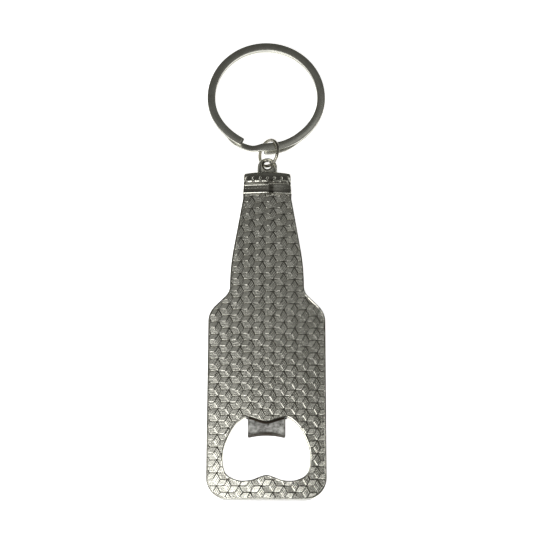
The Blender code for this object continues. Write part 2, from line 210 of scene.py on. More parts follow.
# Hanging lug
LUG_EYE_Y = 50.1
LUG_MID_Z = 3.05
LUG_FRONT_Z = LUG_MID_Z + 0.75
LUG_BACK_Z = LUG_MID_Z - 0.75
LUG_OUTER_R = 2.9
LUG_ARC_Y = 49.4
LUG_ROOT_Y = 46.0
LUG_STEPS = 120
LUG_FRONT_ROUND = 0.42
LUG_FRONT_STEPS = 6
LUG_BACK_ROUND = 0.3
LUG_BACK_STEPS = 4
LUG_RIM = 0.95  # width of the raised rim
LUG_FIELD_DROP = 0.2  # the hollow face lies this much below it
LUG_FIELD_LEAST = 0.08  # and is at least this wide
LUG_SIDE_DROP = 0.3  # the sides are painted in shade from here down
LUG_SAG = 0.08  # the rim's inner slope sags halfway
LUG_SAG_IN = 0.4
# painted shade round the eye, on the hollow face and down the sides
LUG_SHADE = 0.8
EYE_R = 1.1
EYE_STRAIGHT = 0.1  # half height of the eye's straight waist
EYE_FLARE = 0.62
EYE_HOLLOW = 0.04
EYE_LIP = 0.06  # the countersink ends in a small raised lip
EYE_LIP_WIDTH = 0.05
EYE_DARK = 0.5  # painted shade this far out from the eye
FIELD_DARK = 0.8  # and painted shade again from here out, on the hollow face and the sides

# Steel tooth
TOOTH_EDGE_R = 0.25
TOOTH_CORNER_LOW_Y = -30.5
TOOTH_MIDDLE_LOW_Y = -29.85
TOOTH_CORNER_HIGH_Y = -29.9
TOOTH_MIDDLE_HIGH_Y = -28.7
TOOTH_STEPS = 40
TOOTH_HORN = 0.3  # the tip's corners turn up by this
TOOTH_HORN_SHARE = 0.08  # over this share of its half width
TOOTH_SEAT = (0.52, 0.3)  # rings this far before the opening's lip
TOOTH_SEAT_INSET = 0.05
# painted shadow on the tooth this far in front of the opening's lip
TOOTH_SEAT_DARK = 0.4
# painted shade on the tooth below its top, along the tip's bevel
TOOTH_BEVEL_SHADE = 0.85
LIP_FROM_Y = -29.0  # the opening's upper lip lies above this

# Jump ring: round wire, standing askew in the lug's eye
JUMP_WIRE_R = 0.48
JUMP_MID_R = 3.95
JUMP_LEAN = radians(48)
JUMP_CENTRE = Vector((0.42, 53.85, 3.5))
JUMP_BUTT_GAP = 0.25
JUMP_BUTT_ANGLE = radians(155)
JUMP_END_ROUND = 0.12
JUMP_STEPS = 200
JUMP_SIDES = 28

# Split ring: flat spring wire, two turns, drawn in a little towards the ends of the wire
SPLIT_OUTER_R = 17.5
SPLIT_WIRE_WIDTH = 2.34
SPLIT_WIRE_THICK = 1.0
SPLIT_TURN_GAP = 0.12
SPLIT_CENTRE = Vector((-0.37, 71.15, 3.5))
SPLIT_FRONT_END = -26.0
SPLIT_BACK_END = -2.0
SPLIT_CORNER = 0.14
SPLIT_DRAW_IN = 0.6
SPLIT_DRAW_FROM = 85.0
SPLIT_DRAW_TO = 35.0
SPLIT_CROSS_SPARE = 1.0
SPLIT_NIP = 0.55
SPLIT_NIP_BEYOND = 20.0
SPLIT_NIP_RUN = 14.0
SPLIT_NIP_OUTER = 0.8
SPLIT_HUMP = 0.12
SPLIT_HUMP_FROM = -3.0
SPLIT_HUMP_TO = 17.0
SPLIT_HUMP_RUN = 9.0
SPLIT_SPLAY = 0.65
SPLIT_SPLAY_FROM = 40.0
SPLIT_SPLAY_TO = 16.0
SPLIT_END_ROUND = 0.2
SPLIT_STEPS = 480
ONE_TURN = 360.0

# Stage, in metres
FLOOR_HALF_SIZE = 1.5
FLOOR_DROP = 0.00002
FLOOR_GLOW = 0.85
PAPER = (0.9, 0.9, 0.9)
WORLD_SIDE = (0.06, 0.06, 0.056)
WORLD_TOP = (0.105, 0.105, 0.098)
WORLD_FADE_FROM = radians(75)  # angles from straight up
WORLD_FADE_TO = radians(35)
SOFTBOXES = (  # name, place, target, size and brightness
    ("overhead", (-0.165, -0.08, 0.40), (-0.165, -0.08, 0.0), (0.36, 0.50), 0.24),
    ("key", (-0.094, -0.080, 0.254), (-0.094, -0.080, 0.0), (0.16, 0.16), 4.5),
    ("fill", (0.045, 0.125, 0.254), (0.045, 0.125, 0.0), (0.06, 0.06), 0.5),
    ("front_left", (-0.25, -0.40, 0.30), (0.0, 0.0, 0.0), (0.30, 0.25), 2.2),
    ("front_right", (0.25, -0.40, 0.30), (0.0, 0.0, 0.0), (0.30, 0.25), 1.6),
)

# Camera, which looks down on the opener from a little towards its base
CAMERA_TILT = radians(15.63)
CAMERA_ROLL = radians(0.18)
CAMERA_DISTANCE = 424.7
CAMERA_TARGET = Vector((-0.144, 18.95, 4.0))
CAMERA_SENSOR = 36.0
CAMERA_LENS = 99.42
CAMERA_CLIP = (0.01, 10.0)  # metres


def new_object(name, data):
    """An object in the scene that holds the given mesh, light or camera."""
    item = bpy.data.objects.new(name, data)
    bpy.context.scene.collection.objects.link(item)
    return item


def mesh_object(name, mesh):
    """An object in the scene made from a bmesh, which is used up."""
    data = bpy.data.meshes.new(name)
    mesh.to_mesh(data)
    mesh.free()
    return new_object(name, data)


def add_piece(name, mesh, material, body, smooth_angle):
    """Turn a bmesh in millimetres into a piece of the object that rides on a CAD body."""
    bmesh.ops.recalc_face_normals(mesh, faces=mesh.faces)
    bmesh.ops.scale(mesh, vec=(MM, MM, MM), verts=mesh.verts)
    item = mesh_object(name, mesh)
    item.data.shade_smooth()
    item.data.set_sharp_from_angle(angle=radians(smooth_angle))
    item.data.materials.append(material)
    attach(item, body)
    return item


# ---- outlines

def mirrored(half):
    """A closed outline from its right half, which starts and ends on the middle line."""
    left = [(-x, y) for x, y in reversed(half) if x > 1e-6]
    return list(half) + left


def arc(centre, radius, start, end, steps):
    """Points of an arc between two angles."""
    span = end - start
    angles = [start + span * i / steps for i in range(steps + 1)]
    return [(centre[0] + radius * cos(a), centre[1] + radius * sin(a)) for a in angles]


def inset(points, distance):
    """Move a counter-clockwise closed outline inwards by `distance`."""
    result = []
    count = len(points)
    for i, (x, y) in enumerate(points):
        ax, ay = points[i - 1]
        bx, by = points[(i + 1) % count]
        in_dir = Vector((x - ax, y - ay)).normalized()
        out_dir = Vector((bx - x, by - y)).normalized()
        side = in_dir + out_dir
        normal = Vector((-side.y, side.x)).normalized()
        reach = distance / max(normal.dot(Vector((-in_dir.y, in_dir.x))), MITRE_LIMIT)
        result.append((x + normal.x * reach, y + normal.y * reach))
    return result


def plate_outline():
    """The flat bottle, from the middle of its base up into the cap."""
    half = [(BODY_HALF_WIDTH * i / STRAIGHT_STEPS, BASE_Y) for i in range(BASE_POINTS)]
    corner = (BODY_HALF_WIDTH - BASE_CORNER_R, BASE_Y + BASE_CORNER_R)
    half += arc(corner, BASE_CORNER_R, -pi / 2, 0.0, CORNER_STEPS)
    side_y = half[-1][1]
    run = SHOULDER_Y - side_y
    half += [(BODY_HALF_WIDTH, side_y + run * i / STRAIGHT_STEPS) for i in range(1, STRAIGHT_STEPS)]

    convex = (BODY_HALF_WIDTH - SHOULDER_CONVEX_R, SHOULDER_Y)
    half += arc(convex, SHOULDER_CONVEX_R, 0.0, pi / 4, SHOULDER_STEPS)

    run_x, run_y = half[-1]
    drop = SHOULDER_CONCAVE_R * (1 - cos(pi / 4))
    fall = run_x - (NECK_BASE_HALF_WIDTH + drop)
    concave = (NECK_BASE_HALF_WIDTH + SHOULDER_CONCAVE_R,
               run_y + fall + SHOULDER_CONCAVE_R * sin(pi / 4))
    half += arc(concave, SHOULDER_CONCAVE_R, pi * 5 / 4, pi, CONCAVE_STEPS)

    neck = (NECK_BASE_HALF_WIDTH - NECK_ARC_R, concave[1])
    half += arc(neck, NECK_ARC_R, 0.0, NECK_TAPER, SHOULDER_STEPS)[1:]
    arc_x, arc_y = half[-1]
    for i in range(1, STRAIGHT_STEPS + 1):
        y = arc_y + (NECK_TOP_Y - arc_y) * i / STRAIGHT_STEPS
        half.append((arc_x - (y - arc_y) * tan(NECK_TAPER), y))
    half.append((PLATE_TOP_HALF_WIDTH, PLATE_TOP_Y))
    half.append((0.0, PLATE_TOP_Y))
    return mirrored(half)


def opening_outline():
    """Smooth closed curve through the opening's design points, counter-clockwise."""
    right = list(OPENING_POINTS)
    left = [(-x, y) for x, y in reversed(right[1:-1])]
    loop = [Vector(point) for point in right + left]
    count = len(loop)
    points = []
    for i in range(count):
        before, start, end, after = (loop[(i + k) % count] for k in (-1, 0, 1, 2))
        for step in range(OPENING_STEPS):
            t = step / OPENING_STEPS
            pull = 0.5 * (end - before) * t * (1 - t) ** 2
            push = 0.5 * (after - start) * t * t * (t - 1)
            blend = t * t * (3 - 2 * t)
            point = start.lerp(end, blend) + pull + push
            points.append((point.x, point.y))
    return list(reversed(points))


# ---- mesh helpers

def loft(rings, closed=False):
    """Join equal rings of points with quads, and cap the two ends unless the run is closed."""
    mesh = bmesh.new()
    loops = [[mesh.verts.new(point) for point in ring] for ring in rings]
    count = len(loops[0])
    pairs = list(zip(loops, loops[1:]))
    if closed:
        pairs.append((loops[-1], loops[0]))
    for low, high in pairs:
        for i in range(count):
            j = (i + 1) % count
            mesh.faces.new((low[i], low[j], high[j], high[i]))
    if not closed:
        mesh.faces.new(list(reversed(loops[0])))
        mesh.faces.new(loops[-1])
    return mesh


def edge_profile(low, high, radius, outward=False):
    """Inset and height of each ring of a slab whose two rims are rounded."""
    sign = -1.0 if outward else 1.0
    turns = [pi / 2 * i / EDGE_STEPS for i in range(EDGE_STEPS + 1)]
    lower = [(sign * radius * (1 - sin(t)), low + radius * (1 - cos(t))) for t in turns]
    upper = [(distance, low + high - z) for distance, z in reversed(lower)]
    return lower + upper


def slab(outline, low, high, radius):
    """A flat plate of the given outline with rounded rims."""
    rings = []
    for distance, z in edge_profile(low, high, radius):
        rings.append([(x, y, z) for x, y in inset(outline, distance)])
    return loft(rings)


def rolled(depth, radius):
    """Drop of a rounded rim at a distance `depth` in from its edge."""
    if depth >= radius:
        return 0.0
    return radius - sqrt(max(radius ** 2 - (radius - depth) ** 2, 0.0))


def smooth_step(value, low, high):
    """Rises smoothly from 0 to 1 between `low` and `high`."""
    t = min(max((value - low) / (high - low), 0.0), 1.0)
    return t * t * (3 - 2 * t)


def boundary_loops(mesh):
    """Each open border of the mesh as a list of its vertices in order."""
    border = {edge: True for edge in mesh.edges if len(edge.link_faces) == 1}
    loops = []
    while border:
        edge = next(iter(border))
        del border[edge]
        start, here = edge.verts
        loop = [start, here]
        while here is not start:
            step = next(e for e in here.link_edges if e in border)
            del border[step]
            here = step.other_vert(here)
            loop.append(here)
        loops.append(loop[:-1])
    return sorted(loops, key=loop_width, reverse=True)


def loop_width(loop):
    """How far a loop of vertices reaches across."""
    across = [vert.co.x for vert in loop]
    return max(across) - min(across)


# ---- cube pattern

DIAMOND, SLASH, BACKSLASH = range(3)
SIDE = 0.09  # share of a rhombus taken by the slope down to its edges
LINE_Z = -0.07  # thin groove between the two flat rhombi of a hexagon
STEP_Z = -0.05  # lower edge of a backslash rhombus
SLASH_Z = -0.07  # edges that run like a slash
BACK_Z = -0.05  # edge between a backslash rhombus and the diamond
GROOVE_Z = -0.02  # edge beside the deep groove of the diamond
VERTEX_Z = -0.08  # dimples where the edges meet
EDGE_Z = {
    DIAMOND: (SLASH_Z, SLASH_Z, BACK_Z, GROOVE_Z),
    SLASH: (SLASH_Z, SLASH_Z, LINE_Z, STEP_Z),
    BACKSLASH: (GROOVE_Z, BACK_Z, LINE_Z, STEP_Z),
}
EDGE_SHADE = {  # painted shade along each side of a rhombus, in the same order
    DIAMOND: (0.8, 0.8, 0.85, 1.0),
    SLASH: (0.8, 0.8, 1.0, 0.95),
    BACKSLASH: (1.0, 0.85, 1.0, 0.95),
}
FLAT_DARKENING = 0.22  # even darkening on the rhombi without ridges
FINE_SHADE = 0.1  # and painted shade in their hairlines
RIDGE_SHADE = 0.7  # painted shade in the grooves between the diamond's ridges
CREST = 0.38  # share of a ridge's pitch that is flat on top
GROOVE_FROM = 0.5  # and the stretch that is flat in the groove
GROOVE_TO = 0.88
RIDGE_PARTS = (0.0, CREST, GROOVE_FROM, GROOVE_TO)
DEEP_FROM = 0.86  # where a deep groove starts, across a rhombus
DEEP_TO = 0.93  # and where it reaches its floor
DIAMOND_RIDGES = 4
DIAMOND_Z = -0.03
RIDGE_DEPTH = 0.035
DEEP_GROOVE_Z = -0.1
DIAMOND_DARK_FROM = 0.84
DIAMOND_DARK_TO = 0.87
SLASH_RIDGES = 5
SLASH_DEPTH = 0.008
SLASH_FOOT = 0.12  # its lower side slopes down over this share
SLASH_SECTION = ((0.0, -0.06), (SLASH_FOOT, -0.03), (DEEP_FROM, -0.035), (DEEP_TO, -0.09), (1.0, -0.09))
SLASH_DARK_FROM = 0.87
# painted shade in the deep groove of a slash rhombus
SLASH_GROOVE_SHADE = 0.85
BACKSLASH_RIDGES = 4
BACKSLASH_DEPTH = 0.012
BACKSLASH_SECTION = ((0.0, -0.04), (1.0, -0.03))
SLASH_TILT = 0.10  # how much a slash rhombus rises to the right
BACKSLASH_TILT = -0.05  # the same for a backslash rhombus
WAVE_HEIGHT = 0.025  # the cast face is a little wavy
WAVE_LENGTH = 9.0
TILT_SCATTER = 0.014  # and its rhombi don't lie quite alike


def ridge(value):
    """0 on the flat crest of a ridge, falling to -1 in the groove that follows it."""
    phase = value - floor(value)
    return -ramp(phase, (0.0, 0.0), (CREST, 0.0), (GROOVE_FROM, 1.0), (GROOVE_TO, 1.0), (1.0, 0.0))


def ramp(value, *knots):
    """Straight lines through (position, height) knots."""
    for (x0, y0), (x1, y1) in zip(knots, knots[1:]):
        if value <= x1:
            return y0 + (y1 - y0) * (value - x0) / (x1 - x0)
    return knots[-1][1]


def chance(i, j, kind):
    """A fixed pseudo-random number from -1 to 1 for each rhombus."""
    value = sin(i * 12.9898 + j * 78.233 + kind * 37.719) * 43758.5453
    return 2 * (value - floor(value)) - 1


def core_height(kind, a, b):
    """Height inside a rhombus, away from the slopes at its sides."""
    if kind == DIAMOND:
        crest = DIAMOND_Z + RIDGE_DEPTH * ridge(b * DIAMOND_RIDGES)
        return ramp(b, (0.0, crest), (DEEP_FROM, crest), (DEEP_TO, DEEP_GROOVE_Z), (1.0, DEEP_GROOVE_Z))
    if kind == SLASH:
        lean = SLASH_DEPTH * ridge(a * SLASH_RIDGES) + SLASH_TILT * (a - 0.5)
        return lean + ramp(b, *SLASH_SECTION)
    lean = BACKSLASH_DEPTH * ridge(b * BACKSLASH_RIDGES) + BACKSLASH_TILT * (a - 0.5)
    return lean + ramp(b, *BACKSLASH_SECTION)


def core_shade(kind, a, b):
    """Share of painted shade inside a rhombus: in its fine grooves and in the deep ones."""
    if kind == DIAMOND:
        fine = -RIDGE_SHADE * ridge(b * DIAMOND_RIDGES)
        return ramp(b, (0.0, fine), (DIAMOND_DARK_FROM, fine), (DIAMOND_DARK_TO, 1.0), (1.0, 1.0))
    if kind == SLASH:
        fine = FLAT_DARKENING - FINE_SHADE * ridge(a * SLASH_RIDGES)
        dark = SLASH_GROOVE_SHADE
        return ramp(b, (0.0, fine), (SLASH_DARK_FROM, fine), (DEEP_TO, dark), (1.0, dark))
    return FLAT_DARKENING - FINE_SHADE * ridge(b * BACKSLASH_RIDGES)


def near_side(a, b, sides):
    """Nearest side's value, how far along it the point is, and how far in from it."""
    at_a = min(a, 1 - a, SIDE) / SIDE
    at_b = min(b, 1 - b, SIDE) / SIDE
    if at_a <= at_b:
        return sides[0] if a < 0.5 else sides[1], at_b, at_a
    return sides[2] if b < 0.5 else sides[3], at_a, at_b


def rhomb_height(kind, a, b):
    """Height of a rhombus at its own coordinates, each from 0 to 1."""
    edge, along, inward = near_side(a, b, EDGE_Z[kind])
    edge = VERTEX_Z + (edge - VERTEX_Z) * along
    return edge + (core_height(kind, a, b) - edge) * inward


def rhomb_shade(kind, a, b):
    """Share of painted shade there."""
    edge, along, inward = near_side(a, b, EDGE_SHADE[kind])
    edge = 1 + (edge - 1) * along
    return edge + (core_shade(kind, a, b) - edge) * inward


def hexagon_at(x, y):
    """Row numbers of the nearest hexagon and the offset from its centre."""
    best = None
    column = (x - HEX_CENTRE[0]) / HEX_STEP
    for i in (floor(column), floor(column) + 1):
        j = round((y - HEX_CENTRE[1]) / HEX_HEIGHT - i / 2)
        off_x = x - HEX_CENTRE[0] - HEX_STEP * i
        off_y = y - HEX_CENTRE[1] - HEX_HEIGHT * (j + i / 2)
        apart = hypot(off_x, off_y)
        if best is None or apart < best[0]:
            best = (apart, i, j, off_x, off_y)
    return best[1:]


def rhomb_at(x, y):
    """Hexagon, kind of rhombus and position inside it at a point of the front."""
    i, j, off_x, off_y = hexagon_at(x, y)
    across = off_x / RHOMB_SIDE
    up = off_y / HEX_HEIGHT
    if across - up >= 0 and across + up >= 0:
        return i, j, DIAMOND, across - up, across + up
    b = 2 * abs(up)
    a = across + 1 - b / 2
    kind = SLASH if up >= 0 else BACKSLASH
    return i, j, kind, a, b


def relief(x, y):
    """Height of the cast pattern over the plate's front, and its share of painted shade."""
    i, j, kind, a, b = rhomb_at(x, y)
    a = min(max(a, 0.0), 1.0)
    b = min(max(b, 0.0), 1.0)
    inward = min(a, 1 - a, b, 1 - b, SIDE) / SIDE
    tilt = TILT_SCATTER * inward * (chance(i, j, kind) * (a - 0.5) + chance(j, i, kind) * (b - 0.5))
    swell = WAVE_HEIGHT * noise3((x / WAVE_LENGTH, y / WAVE_LENGTH, 0.0))
    return rhomb_height(kind, a, b) + tilt + swell, rhomb_shade(kind, a, b)


def creases(ridges):
    """Where a row of ridges changes slope between 0 and 1."""
    return [(k + part) / ridges for k in range(ridges) for part in RIDGE_PARTS]


def stations(kind):
    """Where the surface of a rhombus has creases along its two directions."""
    sides = [0.0, SIDE, 1 - SIDE, 1.0]
    if kind == DIAMOND:
        along = [0.5]
        up = [b for b in creases(DIAMOND_RIDGES) if b < DEEP_FROM] + [DEEP_FROM, DEEP_TO]
    elif kind == SLASH:
        along = creases(SLASH_RIDGES)
        up = [SLASH_FOOT, DEEP_FROM, DEEP_TO]
    else:
        along = [0.5]
        up = creases(BACKSLASH_RIDGES)
    return sorted(set(sides + along)), sorted(set(sides + up))


def rhomb_corners(kind, centre):
    """Corner and the two side vectors of a rhombus of the hexagon at `centre`."""
    half = HEX_HEIGHT / 2
    west = centre + Vector((-RHOMB_SIDE, 0.0))
    level = Vector((RHOMB_SIDE, 0.0))
    up_right = Vector((RHOMB_SIDE / 2, half))
    down_right = Vector((RHOMB_SIDE / 2, -half))
    return {
        DIAMOND: (centre, down_right, up_right),
        SLASH: (west, level, up_right),
        BACKSLASH: (west, level, down_right),
    }[kind]


def pattern_lines(low, high):
    """Crease lines of every rhombus between two corners of the plate, as pairs of points."""
    lines = []
    first = floor((low.x - HEX_CENTRE[0]) / HEX_STEP) - 1
    last = floor((high.x - HEX_CENTRE[0]) / HEX_STEP) + 2
    for i in range(first, last + 1):
        bottom = floor((low.y - HEX_CENTRE[1]) / HEX_HEIGHT - i / 2) - 1
        top = floor((high.y - HEX_CENTRE[1]) / HEX_HEIGHT - i / 2) + 2
        for j in range(bottom, top + 1):
            centre = Vector(HEX_CENTRE) + Vector((HEX_STEP * i, HEX_HEIGHT * (j + i / 2)))
            if abs(centre.x) > plate_half_width(centre.y) + HEX_STEP:
                continue
            for kind in (DIAMOND, SLASH, BACKSLASH):
                corner, first_side, second_side = rhomb_corners(kind, centre)
                along, up = stations(kind)
                points = [[corner + first_side * a + second_side * b for a in along] for b in up]
                for row in points:
                    lines += zip(row, row[1:])
                for row, above in zip(points, points[1:]):
                    lines += zip(row, above)
    return lines


def plate_half_width(y):
    """Roughly how far the bottle reaches to each side at a height."""
    if y < SHOULDER_Y:
        return BODY_HALF_WIDTH
    if y < SHOULDER_Y + SHOULDER_RUN:
        return BODY_HALF_WIDTH - SHOULDER_NARROWS * (y - SHOULDER_Y)
    return NECK_BASE_HALF_WIDTH + 1


def fill(loops, lines=()):
    """Triangulate the area inside the first loop; returns points, triangles and their loops."""
    points = []
    edges = []
    faces = []
    for loop in loops:
        faces.append(list(range(len(points), len(points) + len(loop))))
        points += [Vector((x, y)) for x, y in loop]
    for start, end in lines:
        edges.append((len(points), len(points) + 1))
        points += [start, end]
    made = delaunay_2d_cdt(points, edges, faces, 0, FILL_TOLERANCE, True)
    return made[0], made[2], made[5]


def flat(loop):
    """A loop of vertices seen from above, counter-clockwise."""
    points = [(vert.co.x, vert.co.y) for vert in loop]
    area = sum(ax * by - bx * ay for (ax, ay), (bx, by) in zip(points, points[1:] + points[:1]))
    return points if area > 0 else points[::-1]


def plate_core():
    """The plate with its opening and tooth pocket, and with a plain front."""
    blank = slab(plate_outline(), 0.0, BODY_THICK, EDGE_R)
    outline = opening_outline()
    profile = edge_profile(0.0, BODY_THICK, EDGE_R, outward=True)
    beyond = profile[0][0] - EDGE_R
    profile = [(beyond, -2 * EDGE_R)] + profile + [(beyond, BODY_THICK + 2 * EDGE_R)]
    opening = loft([[(x, y, z) for x, y in inset(outline, distance)] for distance, z in profile])

    pocket = bmesh.new()
    low = Vector((tooth_low.x - POCKET_GAP, POCKET_FRONT_Y, tooth_low.z - POCKET_GAP))
    high = tooth_high + Vector((POCKET_GAP, POCKET_GAP, POCKET_GAP))
    place = Matrix.Translation((low + high) / 2) @ Matrix.Diagonal((*(high - low), 1.0))
    bmesh.ops.create_cube(pocket, size=1.0, matrix=place)

    for mesh in (blank, opening, pocket):
        bmesh.ops.recalc_face_normals(mesh, faces=mesh.faces)
    core = mesh_object("core", blank)
    cutters = [mesh_object("opening_cut", opening), mesh_object("pocket_cut", pocket)]
    for cutter in cutters:
        step = core.modifiers.new(cutter.name, "BOOLEAN")
        step.operation = "DIFFERENCE"
        step.object = cutter
    result = bmesh.new()
    result.from_mesh(core.evaluated_get(bpy.context.evaluated_depsgraph_get()).to_mesh())
    for item in [core] + cutters:
        bpy.data.objects.remove(item)
    return result


def edge_shade(place):
    """Share of painted shade on the plate's rims and walls."""
    round_from = BODY_THICK - EDGE_R + SLACK
    round_to = BODY_THICK - SLACK
    if abs(place.x) < OPENING_REACH_X and OPENING_LOW_Y < place.y < OPENING_HIGH_Y:
        # painted shadow on the lip's wall over the tooth
        if place.y > POCKET_FRONT_Y - SEAT_BEFORE and abs(place.x) < tooth_high.x + SEAT_BESIDE:
            return 1.0 if place.z < round_to else 0.0
        # painted shadow along the opening's lower edge
        low_rim = place.y < OPENING_LOW_Y + LOW_RIM_RISE and place.z > round_from
        return LOW_RIM_SHADE if low_rim else 0.0
    # painted shade on the base's wall
    if place.y < BASE_Y + EDGE_R:
        return BASE_WALL_SHADE if place.z < round_from else 0.0
    # the rounded front edge is painted in shade, a little less where it meets the front
    if place.z > round_to:
        return RIM_TOP_SHADE
    return 1.0 if round_from < place.z < round_to else 0.0


def drop_loose(mesh):
    """Delete the vertices and edges that no face uses."""
    for parts, context in ((mesh.verts, "VERTS"), (mesh.edges, "EDGES")):
        loose = [part for part in parts if not part.link_faces]
        bmesh.ops.delete(mesh, geom=loose, context=context)


def pattern_mesh(rim, lip):
    """The cube pattern between the plate's rim and its opening."""
    limit = inset(rim, PATTERN_MARGIN)
    limit = [(x, min(y, PATTERN_TOP_Y)) for x, y in limit]
    limit = [point for point, after in zip(limit, limit[1:] + limit[:1]) if point != after]
    hole = inset(lip, -PATTERN_MARGIN)
    lines = pattern_lines(body_low, Vector((body_high.x, PATTERN_TOP_Y)))
    points, triangles, owners = fill([limit, hole], lines)

    pattern = bmesh.new()
    dark = pattern.verts.layers.float.new(PAINTED_SHADE)
    verts = []
    for point in points:
        height, painted_shade = relief(point.x, point.y)
        vert = pattern.verts.new((point.x, point.y, BODY_THICK + height))
        vert[dark] = painted_shade
        verts.append(vert)
    for face, owner in zip(triangles, owners):
        if list(owner) == [0]:  # inside the limit and outside the hole
            pattern.faces.new([verts[k] for k in face])
    drop_loose(pattern)
    return pattern


def add_pattern(plate, pattern, dark):
    """Copy the pattern's faces and painted shade into the plate."""
    pattern_dark = pattern.verts.layers.float[PAINTED_SHADE]
    copies = {}
    for vert in pattern.verts:
        copies[vert] = plate.verts.new(vert.co)
        copies[vert][dark] = vert[pattern_dark]
    for face in pattern.faces:
        plate.faces.new([copies[vert] for vert in face.verts])


def seen_from_above(place):
    """A point's x and y, rounded so that equal points match."""
    return round(place.x, 4), round(place.y, 4)


def add_margin(plate, rim, lip, pattern, dark):
    """Join the pattern to the rim and the opening's lip with plain strips."""
    borders = [flat(loop) for loop in boundary_loops(pattern)]
    points, triangles, owners = fill([rim, lip] + borders[:2])
    heights = {seen_from_above(vert.co): vert.co.z for vert in pattern.verts}
    strip = []
    for point in points:
        z = heights.get(seen_from_above(point), BODY_THICK)
        vert = plate.verts.new((point.x, point.y, z))
        vert[dark] = MARGIN_DARKENING
        strip.append(vert)
    for face, owner in zip(triangles, owners):
        # Outside the pattern's outer border, or inside its hole and outside the lip
        if set(owner) in ({0}, {0, 2, 3}):
            plate.faces.new([strip[k] for k in face])


def build_plate(material):
    """The flat bottle with the cube pattern cast into its front."""
    plate = plate_core()
    front = [face for face in plate.faces
             if face.normal.z > 0.99 and face.calc_center_median().z > BODY_THICK - SLACK]
    bmesh.ops.delete(plate, geom=front, context="FACES_ONLY")
    rim, lip = [flat(loop) for loop in boundary_loops(plate)]
    dark = plate.verts.layers.float.new(PAINTED_SHADE)
    for vert in plate.verts:
        vert[dark] = edge_shade(vert.co)

    pattern = pattern_mesh(rim, lip)
    add_pattern(plate, pattern, dark)
    add_margin(plate, rim, lip, pattern, dark)
    pattern.free()
    bmesh.ops.remove_doubles(plate, verts=plate.verts, dist=MERGE_DISTANCE)
    drop_loose(plate)
    item = add_piece("bottle_plate", plate, material, "opener", smooth_angle=4)
    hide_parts("bottle_body")


# ---- collar, cap and lug

def domed_block(rows, columns, place, front, shade):
    """A closed block: `place(u, v)` gives x and y, `front` the height and `shade` the share of painted
    shade.
    """
    mesh = bmesh.new()
    dark = mesh.verts.layers.float.new(PAINTED_SHADE)
    face = []
    for j in range(rows + 1):
        points = [place(2 * i / columns - 1, j / rows) for i in range(columns + 1)]
        face.append([mesh.verts.new((x, y, front(x, y))) for x, y in points])
    for j in range(rows):
        for i in range(columns):
            mesh.faces.new((face[j][i], face[j][i + 1], face[j + 1][i + 1], face[j + 1][i]))
    border = [face[0][i] for i in range(columns)]
    border += [face[j][columns] for j in range(rows)]
    border += [face[rows][i] for i in range(columns, 0, -1)]
    border += [face[j][0] for j in range(rows, 0, -1)]
    back = [mesh.verts.new((vert.co.x, vert.co.y, RELIEF_BACK_Z)) for vert in border]
    for k, vert in enumerate(border):
        beside = (k + 1) % len(border)
        mesh.faces.new((back[k], back[beside], border[beside], vert))
    mesh.faces.new(back[::-1])
    for vert in mesh.verts:
        vert[dark] = shade(vert.co.x, vert.co.y)
    return mesh


def dark_reflection_band(x):
    """1 across the painted dark reflection beside the middle of the cap and collar."""
    return bump(x, DARK_REFLECTION_LOW_X, DARK_REFLECTION_HIGH_X, DARK_REFLECTION_RUN)


def collar_half_width(y):
    """Half the collar's width, which shrinks a little towards the cap."""
    share = (y - COLLAR_LOW_Y) / (COLLAR_HIGH_Y - COLLAR_LOW_Y)
    return COLLAR_LOW_HALF_WIDTH + (COLLAR_HIGH_HALF_WIDTH - COLLAR_LOW_HALF_WIDTH) * share


def furrow(y, middle, half_width):
    """1 in the middle of a round furrow and 0 beside it."""
    return max(1 - ((y - middle) / half_width) ** 2, 0.0)


def bead(x, y):
    """1 on top of each bead of the collar and 0 between them."""
    return furrow(y, BEAD_Y, BEAD_HALF_WIDTH) * (0.5 + 0.5 * cos(2 * pi * x / BEAD_PITCH))


def build_collar(material):
    """The rolled lip: two bands with a small step, a row of beads and a raised line."""
    def place(u, v):
        y = COLLAR_LOW_Y + (COLLAR_HIGH_Y - COLLAR_LOW_Y) * (1 - cos(pi * v)) / 2
        return sin(u * pi / 2) * collar_half_width(y), y

    def front(x, y):
        across = x / collar_half_width(y)
        crest = COLLAR_SIDE_Z + (COLLAR_CREST_Z - COLLAR_SIDE_Z) * (1 - across ** 2)
        low_drop = rolled(y - COLLAR_LOW_Y, COLLAR_ROUND)
        high_drop = rolled(COLLAR_HIGH_Y - y, COLLAR_ROUND)
        side_drop = rolled(collar_half_width(y) - abs(x), COLLAR_ROUND)
        slope = COLLAR_SLOPE * min(max(y - COLLAR_LOW_Y, 0.0), COLLAR_STEP_Y - COLLAR_LOW_Y)
        step = COLLAR_STEP * smooth_step(y, COLLAR_STEP_Y - COLLAR_STEP, COLLAR_STEP_Y + COLLAR_STEP)
        lip = COLLAR_LIP * smooth_step(y, COLLAR_LIP_LOW_Y, COLLAR_LIP_HIGH_Y)
        drop = slope + step + max(low_drop, high_drop, side_drop)
        return crest - drop + BEAD_HEIGHT * bead(x, y) + lip

    def shade(x, y):
        # painted shade by height, lightened by painted highlights on the beads
        return max(ramp(y, *COLLAR_SHADE) - BEAD_HIGHLIGHT * bead(x, y), COLLAR_DARK_REFLECTION * dark_reflection_band(x))

    collar = domed_block(rows=56, columns=72, place=place, front=front, shade=shade)
    add_piece("collar", collar, material, "opener", RELIEF_ANGLE)


def cap_half_width(y):
    """Half the cap's width, with its rounded upper corners."""
    rise = y - (CAP_HIGH_Y - CAP_CORNER_R)
    if rise <= 0:
        return CAP_HALF_WIDTH
    return CAP_HALF_WIDTH - rolled(CAP_CORNER_R - rise, CAP_CORNER_R)


